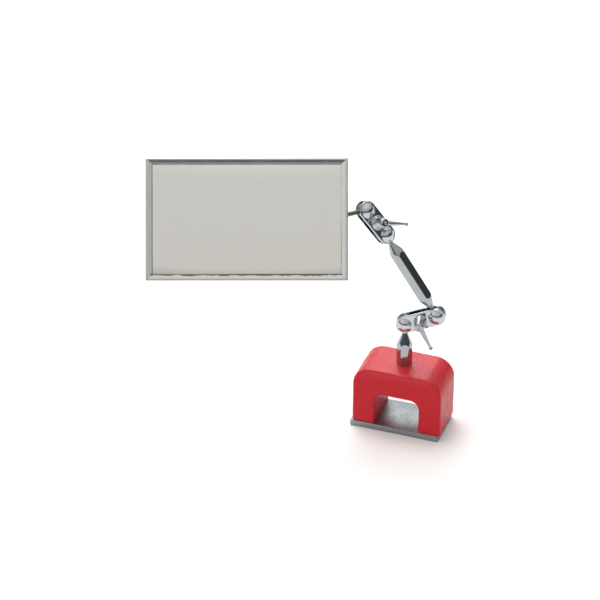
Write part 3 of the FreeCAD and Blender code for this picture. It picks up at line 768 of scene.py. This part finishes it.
def hexagonal_stem(sizes, low, high, ball_ends):
    """A bmesh of a stem along Z: a soft-edged hexagon, tapered like a pencil towards each ball."""
    rings, segments = 150, 144
    flat = sizes.across / 2
    corner = sizes.across / math.sqrt(3)
    bm = bmesh.new()
    bmesh.ops.create_circle(bm, segments=segments, radius=1.0)
    edges = list(bm.edges)
    step = (high - low) / rings
    bmesh.ops.translate(bm, verts=bm.verts, vec=(0, 0, low))
    for _ in range(rings):
        grown = bmesh.ops.extrude_edge_only(bm, edges=edges)["geom"]
        edges = [item for item in grown if isinstance(item, bmesh.types.BMEdge)]
        rim = {vertex for edge in edges for vertex in edge.verts}
        bmesh.ops.translate(bm, verts=list(rim), vec=(0, 0, step))
    for vertex in bm.verts:
        angle = math.atan2(vertex.co.y, vertex.co.x)
        from_flat = (angle % math.radians(60)) - math.radians(30)
        radius = soft_min(flat / math.cos(from_flat), corner - sizes.edge / 2, sizes.edge)
        for ball in ball_ends:
            away = abs(vertex.co.z - ball)
            share = (away - sizes.taper_start) / (sizes.taper_end - sizes.taper_start)
            cone = sizes.neck + (corner * 1.02 - sizes.neck) * max(share, 0)
            radius = soft_min(radius, cone, sizes.edge)
        vertex.co.x = math.cos(angle) * radius
        vertex.co.y = math.sin(angle) * radius
    bmesh.ops.holes_fill(bm, edges=[edge for edge in bm.edges if edge.is_boundary], sides=0)
    return bm


class MIRROR_OT_stems(bpy.types.Operator):
    """Turns the base stud and the arm: hexagonal bar with pencil tapers"""

    bl_idname = "mirror.stems"
    bl_label = "Stems"

    def execute(self, context):
        sizes = sizes_of(context, "stem")
        ball = joint_at("base_ball_spin")
        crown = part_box("base_stud")[0].z
        place = stem_place("base_stud", Vector((ball.x, ball.y, crown)), (0, 0, 1))
        height = ball.z - crown
        bm = hexagonal_stem(sizes, 0, height + sizes.spigot, [height])
        stud = new_piece("hex_stud", bm, place, FINISHES["stem"])
        stand_for(stud, "base_stud", "base")
        lower = joint_at("arm_lower_spin")
        reach = arm_direction().length
        bm = hexagonal_stem(sizes, -sizes.spigot, reach + sizes.spigot, [0, reach])
        place = stem_place("hex_arm", lower, arm_direction())
        arm = new_piece("hex_rod", bm, place, FINISHES["stem"])
        stand_for(arm, "hex_arm", "arm")
        for node in ("base_ball", "arm_lower_ball", "arm_upper_ball", "mirror_ball"):
            keep_cad(node, FINISHES["ball"], 0.08)
        return {"FINISHED"}


# ---------------------------------------------------------------- clamps


def pressed_plate(sizes):
    """A bmesh of one pressed plate on the +Z side: soft domes outside, ball cups inside."""
    half_pitch, half_width = sizes.pitch / 2, sizes.width / 2
    top, under = sizes.gap / 2 + sizes.thick, sizes.gap / 2
    reach = half_pitch + half_width
    bm = bmesh.new()
    bmesh.ops.create_grid(bm, x_segments=190, y_segments=72, size=1.0)
    for vertex in bm.verts:
        x = reach * math.sin(vertex.co.x * math.pi / 2)
        past = max(abs(x) - half_pitch, 0)
        half = math.sqrt(max(half_width**2 - past**2, 0))
        vertex.co.x = x
        vertex.co.y = half * math.sin(vertex.co.y * math.pi / 2)
    bmesh.ops.remove_doubles(bm, verts=bm.verts, dist=WELD)
    outer = list(bm.verts)
    grown = bmesh.ops.duplicate(bm, geom=list(bm.verts) + list(bm.edges) + list(bm.faces))["geom"]
    inner = [item for item in grown if isinstance(item, bmesh.types.BMVert)]
    for vertex in outer:
        x, y = vertex.co.x, vertex.co.y
        from_ball = math.hypot(abs(x) - half_pitch, y)
        dome = math.sqrt(max(sizes.dome**2 - from_ball**2, 0))
        height = soft_max(top, dome, sizes.dome_blend)
        inside = half_width - math.hypot(max(abs(x) - half_pitch, 0), y)
        short = max(sizes.edge - inside, 0)
        vertex.co.z = height - sizes.edge + math.sqrt(max(sizes.edge**2 - short**2, 0))
    for vertex in inner:
        from_ball = math.hypot(abs(vertex.co.x) - half_pitch, vertex.co.y)
        cup = math.sqrt(max(sizes.cup**2 - from_ball**2, 0))
        vertex.co.z = max(under, cup)
    rims = [edge for edge in bm.edges if edge.is_boundary]
    bmesh.ops.bridge_loops(bm, edges=rims)
    bmesh.ops.triangulate(bm, faces=[face for face in bm.faces if len(face.verts) > 4])
    return bm


def boss(sizes):
    """A bmesh of the raised boss, flared at its foot into the plate."""
    top = sizes.gap / 2 + sizes.thick
    foot, height = 0.42 * MM, sizes.boss_height
    crown_round = 0.3 * MM
    sunk, flush = 0.3 * MM, 0.01 * MM
    outline = [(0.0, top - sunk), (sizes.boss_radius + foot, top - sunk)]
    outline += [(sizes.boss_radius + foot, top - flush)]
    outline += arc((sizes.boss_radius + foot, top + foot), foot, 270, 184, 7)
    outline += arc((sizes.boss_top - crown_round, top + height - crown_round), crown_round, 5, 90, 6)
    outline += [(0.0, top + height)]
    return spun(outline, 96)


def nut(sizes):
    """A bmesh of the lever nut: a turned cone with a rounded top and a centre dimple."""
    foot = sizes.gap / 2 + sizes.thick + sizes.boss_height
    top = foot + sizes.hub_height
    chamfer = 0.18 * MM
    dimple, dimple_depth = 0.85 * MM, 0.28 * MM
    brim, brim_round = 0.1 * MM, 0.06 * MM
    rounding = sizes.hub_round
    outline = [(0.0, foot), (sizes.hub_radius - chamfer, foot), (sizes.hub_radius, foot + chamfer)]
    outline += arc((sizes.hub_top - rounding, top - rounding), rounding, 5, 90, 12)
    outline += [(dimple + brim, top)]
    outline += arc((dimple, top - brim_round), brim_round, 80, 150, 3)
    outline += [(dimple * 0.45, top - dimple_depth * 0.8), (0.0, top - dimple_depth)]
    return spun(outline, 96)


def lever(sizes):
    """A bmesh of the lever along X: a slim taper from the nut out to its ball end."""
    start, shoulder, full = 1.6 * MM, 2.2 * MM, 2.55 * MM
    spigot = sizes.lever_root * 0.74
    knob_start = sizes.lever_reach - math.sqrt(sizes.knob**2 - sizes.lever_tip**2)
    thin = knob_start - 0.25 * MM
    outline = [(0.0, start), (spigot, start), (spigot, shoulder), (sizes.lever_root, full)]
    steps = 10
    for step in range(1, steps):
        share = step / steps
        swell = 1 + 0.05 * math.sin(share * math.pi)
        radius = sizes.lever_root + (sizes.lever_tip - sizes.lever_root) * share ** 0.85
        outline.append((radius * swell, full + (thin - full) * share))
    outline.append((sizes.lever_tip, thin))
    first = math.degrees(math.asin(sizes.lever_tip / sizes.knob))
    for a in np.radians(np.linspace(first, 180, 18)):
        outline.append((sizes.knob * math.sin(a), sizes.lever_reach - sizes.knob * math.cos(a)))
    bm = spun(outline, 48)
    bmesh.ops.rotate(bm, verts=bm.verts, cent=(0, 0, 0), matrix=Matrix.Rotation(math.pi / 2, 3, "Y"))
    rise = sizes.gap / 2 + sizes.thick + sizes.boss_height + sizes.lever_rise
    bmesh.ops.translate(bm, verts=bm.verts, vec=(0, 0, rise))
    return bm


class MIRROR_OT_clamps(bpy.types.Operator):
    """Presses the clamp plates and turns the lever nuts of both double-ball clamps"""

    bl_idname = "mirror.clamps"
    bl_label = "Clamps"

    def execute(self, context):
        sizes = sizes_of(context, "clamp")
        half_turn = Matrix.Rotation(math.pi, 4, "X")
        for prefix in ("lower", "upper"):
            place = clamp_place(prefix)
            finish = FINISHES[f"{prefix}_clamp"]
            behind = place @ half_turn
            rear = new_piece(f"{prefix}_rear_pressing", pressed_plate(sizes), behind, finish)
            stand_for(rear, f"{prefix}_rear_plate", f"{prefix}_clamp")
            front = new_piece(f"{prefix}_front_pressing", pressed_plate(sizes), place, finish)
            through = sizes.gap / 2 + 2 * sizes.thick
            drill(front, place, sizes.dowel, 0, through, sizes.dowel_along, sizes.dowel_across)
            raise_boss(front, new_piece("boss", boss(sizes), place, finish))
            stand_for(front, f"{prefix}_front_plate", f"{prefix}_front")
            keep_cad(f"{prefix}_clamp_screw", FINISHES["lever"], 0.1)
            turned = lever_place(prefix)
            hub = new_piece(f"{prefix}_lever_nut", nut(sizes), turned, FINISHES["lever"])
            stand_for(hub, f"{prefix}_lever_hub", f"{prefix}_lever")
            arm = new_piece(f"{prefix}_lever_arm", lever(sizes), turned, FINISHES["lever"])
            stand_for(arm, f"{prefix}_lever", f"{prefix}_lever")
        return {"FINISHED"}


# ---------------------------------------------------------------- mirror


PAN_CLEARANCE = 0.02 * MM
PAN_BELOW_RIM = 0.55 * MM
PAN_CORNER = 0.7 * MM
SIDE_ABOVE_BACK = 0.9 * MM
RIM_ROUND = 0.45 * MM
GLASS_CLEARANCE = 0.15 * MM
GLASS_EDGE = 0.25 * MM


def lip_side(bm, sizes, long_side, reach, turn):
    """One side of the tray: outer wall, rounded rim and bevelled lip, mitred at both ends."""
    wall = reach
    foot = -sizes.depth + SIDE_ABOVE_BACK
    fall = sizes.slope
    outline = [(wall, foot)]
    outline += arc((wall - RIM_ROUND, -RIM_ROUND), RIM_ROUND, 0, 90, 6)
    outline += [(wall - sizes.rim + 0.12 * MM, 0.0), (wall - sizes.rim, -0.02 * MM)]
    outline += [(wall - sizes.rim - 0.12 * MM, -0.05 * MM)]
    outline += [(wall - sizes.lip + 0.18 * MM, -fall + 0.04 * MM)]
    outline += [(wall - sizes.lip + 0.05 * MM, -fall - 0.03 * MM), (wall - sizes.lip, -fall - 0.16 * MM)]
    outline += [(wall - sizes.lip, -fall - sizes.sheet)]
    outline += [(wall - sizes.lip + 0.6 * MM, -fall - sizes.sheet)]
    outline += [(wall - sizes.sheet, -fall - sizes.sheet), (wall - sizes.sheet, foot)]
    half = long_side / 2
    points = [bm.verts.new((-half, offset, height)) for offset, height in outline]
    edges = [bm.edges.new(pair) for pair in zip(points, points[1:])]
    edges.append(bm.edges.new((points[-1], points[0])))
    made = list(points)
    grown = bmesh.ops.extrude_edge_only(bm, edges=edges)["geom"]
    moved = [item for item in grown if isinstance(item, bmesh.types.BMVert)]
    bmesh.ops.translate(bm, verts=moved, vec=(long_side, 0, 0))
    made += moved
    # Each end is cut on the corner's mitre: the further in from the wall, the shorter the side.
    gap = sizes.mitre / 2
    for vertex in made:
        side = 1 if vertex.co.x > 0 else -1
        vertex.co.x = side * (half - (reach - vertex.co.y) - gap)
    bmesh.ops.rotate(bm, verts=made, cent=(0, 0, 0), matrix=Matrix.Rotation(turn, 3, "Z"))


class MIRROR_OT_tray(bpy.types.Operator):
    """Folds the mirror's tray: back, walls and the mitred lip over the glass"""

    bl_idname = "mirror.tray"
    bl_label = "Tray"

    def execute(self, context):
        sizes = sizes_of(context, "tray")
        bm = bmesh.new()
        for quarter in range(4):
            along_x = quarter % 2 == 0
            long_side = sizes.width if along_x else sizes.height
            reach = (sizes.height if along_x else sizes.width) / 2
            lip_side(bm, sizes, long_side, reach, quarter * math.pi / 2)
        bmesh.ops.holes_fill(bm, edges=[edge for edge in bm.edges if edge.is_boundary], sides=0)
        # The pan: back and walls in one, reaching up into the folded rim.
        pan = bmesh.ops.create_cube(bm, size=1.0)["verts"]
        pan_depth = sizes.depth - PAN_BELOW_RIM
        pan_size = (sizes.width - PAN_CLEARANCE, sizes.height - PAN_CLEARANCE, pan_depth)
        bmesh.ops.scale(bm, vec=pan_size, verts=pan)
        bmesh.ops.translate(bm, verts=pan, vec=(0, 0, -sizes.depth + pan_depth / 2))
        faces = {face for vertex in pan for face in vertex.link_faces}
        near_top = -sizes.depth + pan_depth * 0.9
        lid = [
            face for face in faces
            if face.normal.z > 0.9 or face.calc_center_median().z > near_top
        ]
        bmesh.ops.delete(bm, geom=lid, context="FACES")
        edges = [edge for vertex in pan if vertex.is_valid for edge in vertex.link_edges]
        corners = [edge for edge in set(edges) if not edge.is_boundary]
        bevelled = bmesh.ops.bevel(
            bm, geom=corners, offset=PAN_CORNER, offset_type="OFFSET", affect="EDGES",
            segments=5, profile=0.5, material=-1, clamp_overlap=True,
        )
        walls = {face for vertex in pan if vertex.is_valid for face in vertex.link_faces}
        walls |= set(bevelled["faces"])
        spread = set(walls)
        while True:
            more = {f for face in spread for edge in face.edges for f in edge.link_faces} - spread
            if not more:
                break
            spread |= more
        bmesh.ops.recalc_face_normals(bm, faces=list(spread))
        bmesh.ops.solidify(bm, geom=list(spread), thickness=sizes.sheet * 0.9)
        piece = new_piece("mirror_tray", bm, tray_place(), FINISHES["tray"], math.radians(50))
        stand_for(piece, "mirror_frame", "mirror")
        return {"FINISHED"}


class MIRROR_OT_glass(bpy.types.Operator):
    """Lays the silvered glass on its pad"""

    bl_idname = "mirror.glass"
    bl_label = "Glass"

    def execute(self, context):
        sizes = sizes_of(context, "tray")
        side = 2 * (sizes.sheet + GLASS_CLEARANCE)
        front = -(sizes.slope + sizes.sheet)
        bm = bmesh.new()
        bmesh.ops.create_cube(bm, size=1.0)
        bmesh.ops.scale(bm, vec=(sizes.width - side, sizes.height - side, sizes.glass), verts=bm.verts)
        bmesh.ops.translate(bm, verts=bm.verts, vec=(0, 0, front - sizes.glass / 2))
        bmesh.ops.bevel(
            bm, geom=bm.edges, offset=GLASS_EDGE, offset_type="OFFSET", affect="EDGES",
            segments=3, profile=0.5, material=-1,
        )
        for face in bm.faces:
            face.material_index = 0 if abs(face.normal.z) > 0.9 else 1
        piece = new_piece("silvered_glass", bm, tray_place(), FINISHES["silver"])
        piece.data.materials.append(FINISHES["glass_edge"])
        stand_for(piece, "mirror_glass", "mirror")
        keep_cad("backing_pad", FINISHES["board"], 0.05)
        return {"FINISHED"}


class MIRROR_OT_fittings(bpy.types.Operator):
    """Finishes the rod, its bracket and rivets, and the base's screw and washer"""

    bl_idname = "mirror.fittings"
    bl_label = "Fittings"

    def execute(self, context):
        keep_cad("mirror_stud", FINISHES["rod"], 0.1, math.radians(50))
        keep_cad("stud_bracket", FINISHES["bracket"], 0.12)
        keep_cad("bracket_rivets", FINISHES["bracket"], 0.06)
        keep_cad("base_fixing_screw", FINISHES["fixing"], 0.08)
        keep_cad("base_lock_washer", FINISHES["fixing"], 0.06)
        return {"FINISHED"}


# ---------------------------------------------------------------- stage


CAMERA_TARGET = Vector((-55.13, 11.80, 47.81)) * MM
CAMERA_AZIMUTH = math.radians(19.88)
CAMERA_ELEVATION = math.radians(31.97)
CAMERA_DISTANCE = 1200 * MM
CAMERA_LENS = 154.62
FLOOR_RADIUS = 0.7
LIGHTS_AIM = Vector((-0.03, 0, 0.07))
# name, azimuth and elevation in degrees, distance, width and height in metres, watts
LIGHTS = (
    ("Overhead", -125, 68, 1.3, 0.7, 0.7, 6.8),
    ("Back", 200, 34, 1.2, 0.8, 0.45, 2.8),
    ("Left", -70, 30, 1.2, 0.45, 0.6, 1.0),
)


def toward(azimuth, elevation):
    """The unit vector towards a place seen from the object, with azimuth 0 in front."""
    return Vector((
        math.sin(azimuth) * math.cos(elevation),
        -math.cos(azimuth) * math.cos(elevation),
        math.sin(elevation),
    ))


def softbox(name, azimuth, elevation, distance, width, height, watts):
    """A rectangular area light aimed at the object."""
    light = bpy.data.lights.new(name, "AREA")
    light.shape = "RECTANGLE"
    light.size = width
    light.size_y = height
    light.energy = watts
    lamp = bpy.data.objects.new(name, light)
    bpy.context.scene.collection.objects.link(lamp)
    back = toward(math.radians(azimuth), math.radians(elevation))
    lamp.location = LIGHTS_AIM + back * distance
    lamp.rotation_mode = "QUATERNION"
    lamp.rotation_quaternion = (-back).to_track_quat("-Z", "Y")
    return lamp


def studio_world(context):
    """Soft room light: bright above, a dark band at eye level, darkest on the right."""
    world = bpy.data.worlds.new("Studio")
    context.scene.world = world
    world.use_nodes = True
    s = Shader(world.node_tree)
    background = world.node_tree.nodes["Background"]
    way = s.add("ShaderNodeTexCoord").outputs["Generated"]
    parts = s.add("ShaderNodeSeparateXYZ", {0: way})
    height = s.scaled_sum(parts.outputs["Z"], 0.5, 0.5)
    front = s.ramp(
        height, (0.0, 0.36), (0.47, 0.46), (0.50, (0.30, 0.30, 0.31)), (0.53, (0.09, 0.11, 0.135)),
        (0.59, (0.12, 0.145, 0.17)), (0.64, (0.40, 0.42, 0.44)), (0.67, (0.69, 0.675, 0.64)),
        (0.85, (0.70, 0.69, 0.66)), (0.93, (0.98, 0.92, 0.90)), (1.0, 1.0),
    )
    right = s.ramp(
        height, (0.0, 0.34), (0.47, 0.10), (0.50, 0.07), (0.62, 0.09), (0.74, (0.30, 0.33, 0.36)),
        (0.84, 0.80), (1.0, 1.0),
    )
    to_right = s.ramp(parts.outputs["X"], (0.74, 0.0), (0.92, 1.0))
    to_left = s.maths("MULTIPLY", parts.outputs["X"], -1.0)
    lift = s.scaled_sum(s.ramp(to_left, (0.05, 0.0), (0.25, 1.0)), 0.42, 1.0)
    left = s.add("ShaderNodeVectorMath", {0: front, "Scale": lift}, operation="SCALE").outputs[0]
    room = s.mix(to_right, left, right)
    seen = s.add("ShaderNodeLightPath").outputs["Is Camera Ray"]
    s.join(s.mix(seen, room, (1.0, 1.0, 1.0, 1)), background.inputs["Color"])
    background.inputs["Strength"].default_value = 1.0


class MIRROR_OT_stage(bpy.types.Operator):
    """Sets the pale floor, the studio light and the camera"""

    bl_idname = "mirror.stage"
    bl_label = "Stage"

    def execute(self, context):
        scene = context.scene
        scene.view_settings.view_transform = "Standard"
        bm = bmesh.new()
        bmesh.ops.create_circle(bm, cap_ends=True, segments=96, radius=FLOOR_RADIUS)
        material, s, surface, where = new_material("Pale Floor")
        tone = list(scene.mirror_colours.floor)
        cloudy = s.mix(s.noise(where, 6.0, 3.0, 0.5), tone, toned(tone, 0.985))
        s.join(cloudy, surface.inputs["Base Color"])
        surface.inputs["Roughness"].default_value = 0.6
        under = Matrix.Translation((0, 0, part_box("keeper_plate")[0].z))
        floor = new_piece("studio_floor", bm, under, material)
        studio_world(context)
        for light in LIGHTS:
            softbox(*light)
        camera = bpy.data.objects.new("Camera", bpy.data.cameras.new("Camera"))
        scene.collection.objects.link(camera)
        camera.data.lens = CAMERA_LENS
        camera.data.sensor_width = 36
        camera.data.clip_end = 20
        back = toward(CAMERA_AZIMUTH, CAMERA_ELEVATION)
        camera.location = CAMERA_TARGET + back * CAMERA_DISTANCE
        camera.rotation_mode = "QUATERNION"
        camera.rotation_quaternion = (-back).to_track_quat("-Z", "Y")
        scene.camera = camera
        return {"FINISHED"}


# ---------------------------------------------------------------- the add-on


class MIRROR_OT_finishes(bpy.types.Operator):
    """Mixes the finishes that every piece uses"""

    bl_idname = "mirror.finishes"
    bl_label = "Finishes"

    def execute(self, context):
        make_finishes(context)
        return {"FINISHED"}


OPERATORS = (
    MIRROR_OT_finishes,
    MIRROR_OT_magnet,
    MIRROR_OT_keeper,
    MIRROR_OT_stems,
    MIRROR_OT_clamps,
    MIRROR_OT_tray,
    MIRROR_OT_glass,
    MIRROR_OT_fittings,
    MIRROR_OT_stage,
)


class MIRROR_PT_panel(bpy.types.Panel):
    """Lists the steps that finish the mirror"""

    bl_idname = "MIRROR_PT_panel"
    bl_label = "Inspection Mirror"
    bl_space_type = "VIEW_3D"
    bl_region_type = "UI"
    bl_category = "Inspection Mirror"

    def draw(self, context):
        for operator in OPERATORS:
            self.layout.operator(operator.bl_idname)


def register():
    for name, group in GROUPS.items():
        bpy.utils.register_class(group)
        setattr(bpy.types.Scene, name, bpy.props.PointerProperty(type=group))
    for operator in OPERATORS:
        bpy.utils.register_class(operator)
    bpy.utils.register_class(MIRROR_PT_panel)


def unregister():
    bpy.utils.unregister_class(MIRROR_PT_panel)
    for operator in reversed(OPERATORS):
        bpy.utils.unregister_class(operator)
    for name, group in reversed(GROUPS.items()):
        delattr(bpy.types.Scene, name)
        bpy.utils.unregister_class(group)


def main():
    register()
    for operator in OPERATORS:
        group, step = operator.bl_idname.split(".")
        getattr(getattr(bpy.ops, group), step)()


if __name__ == "__main__":
    main()
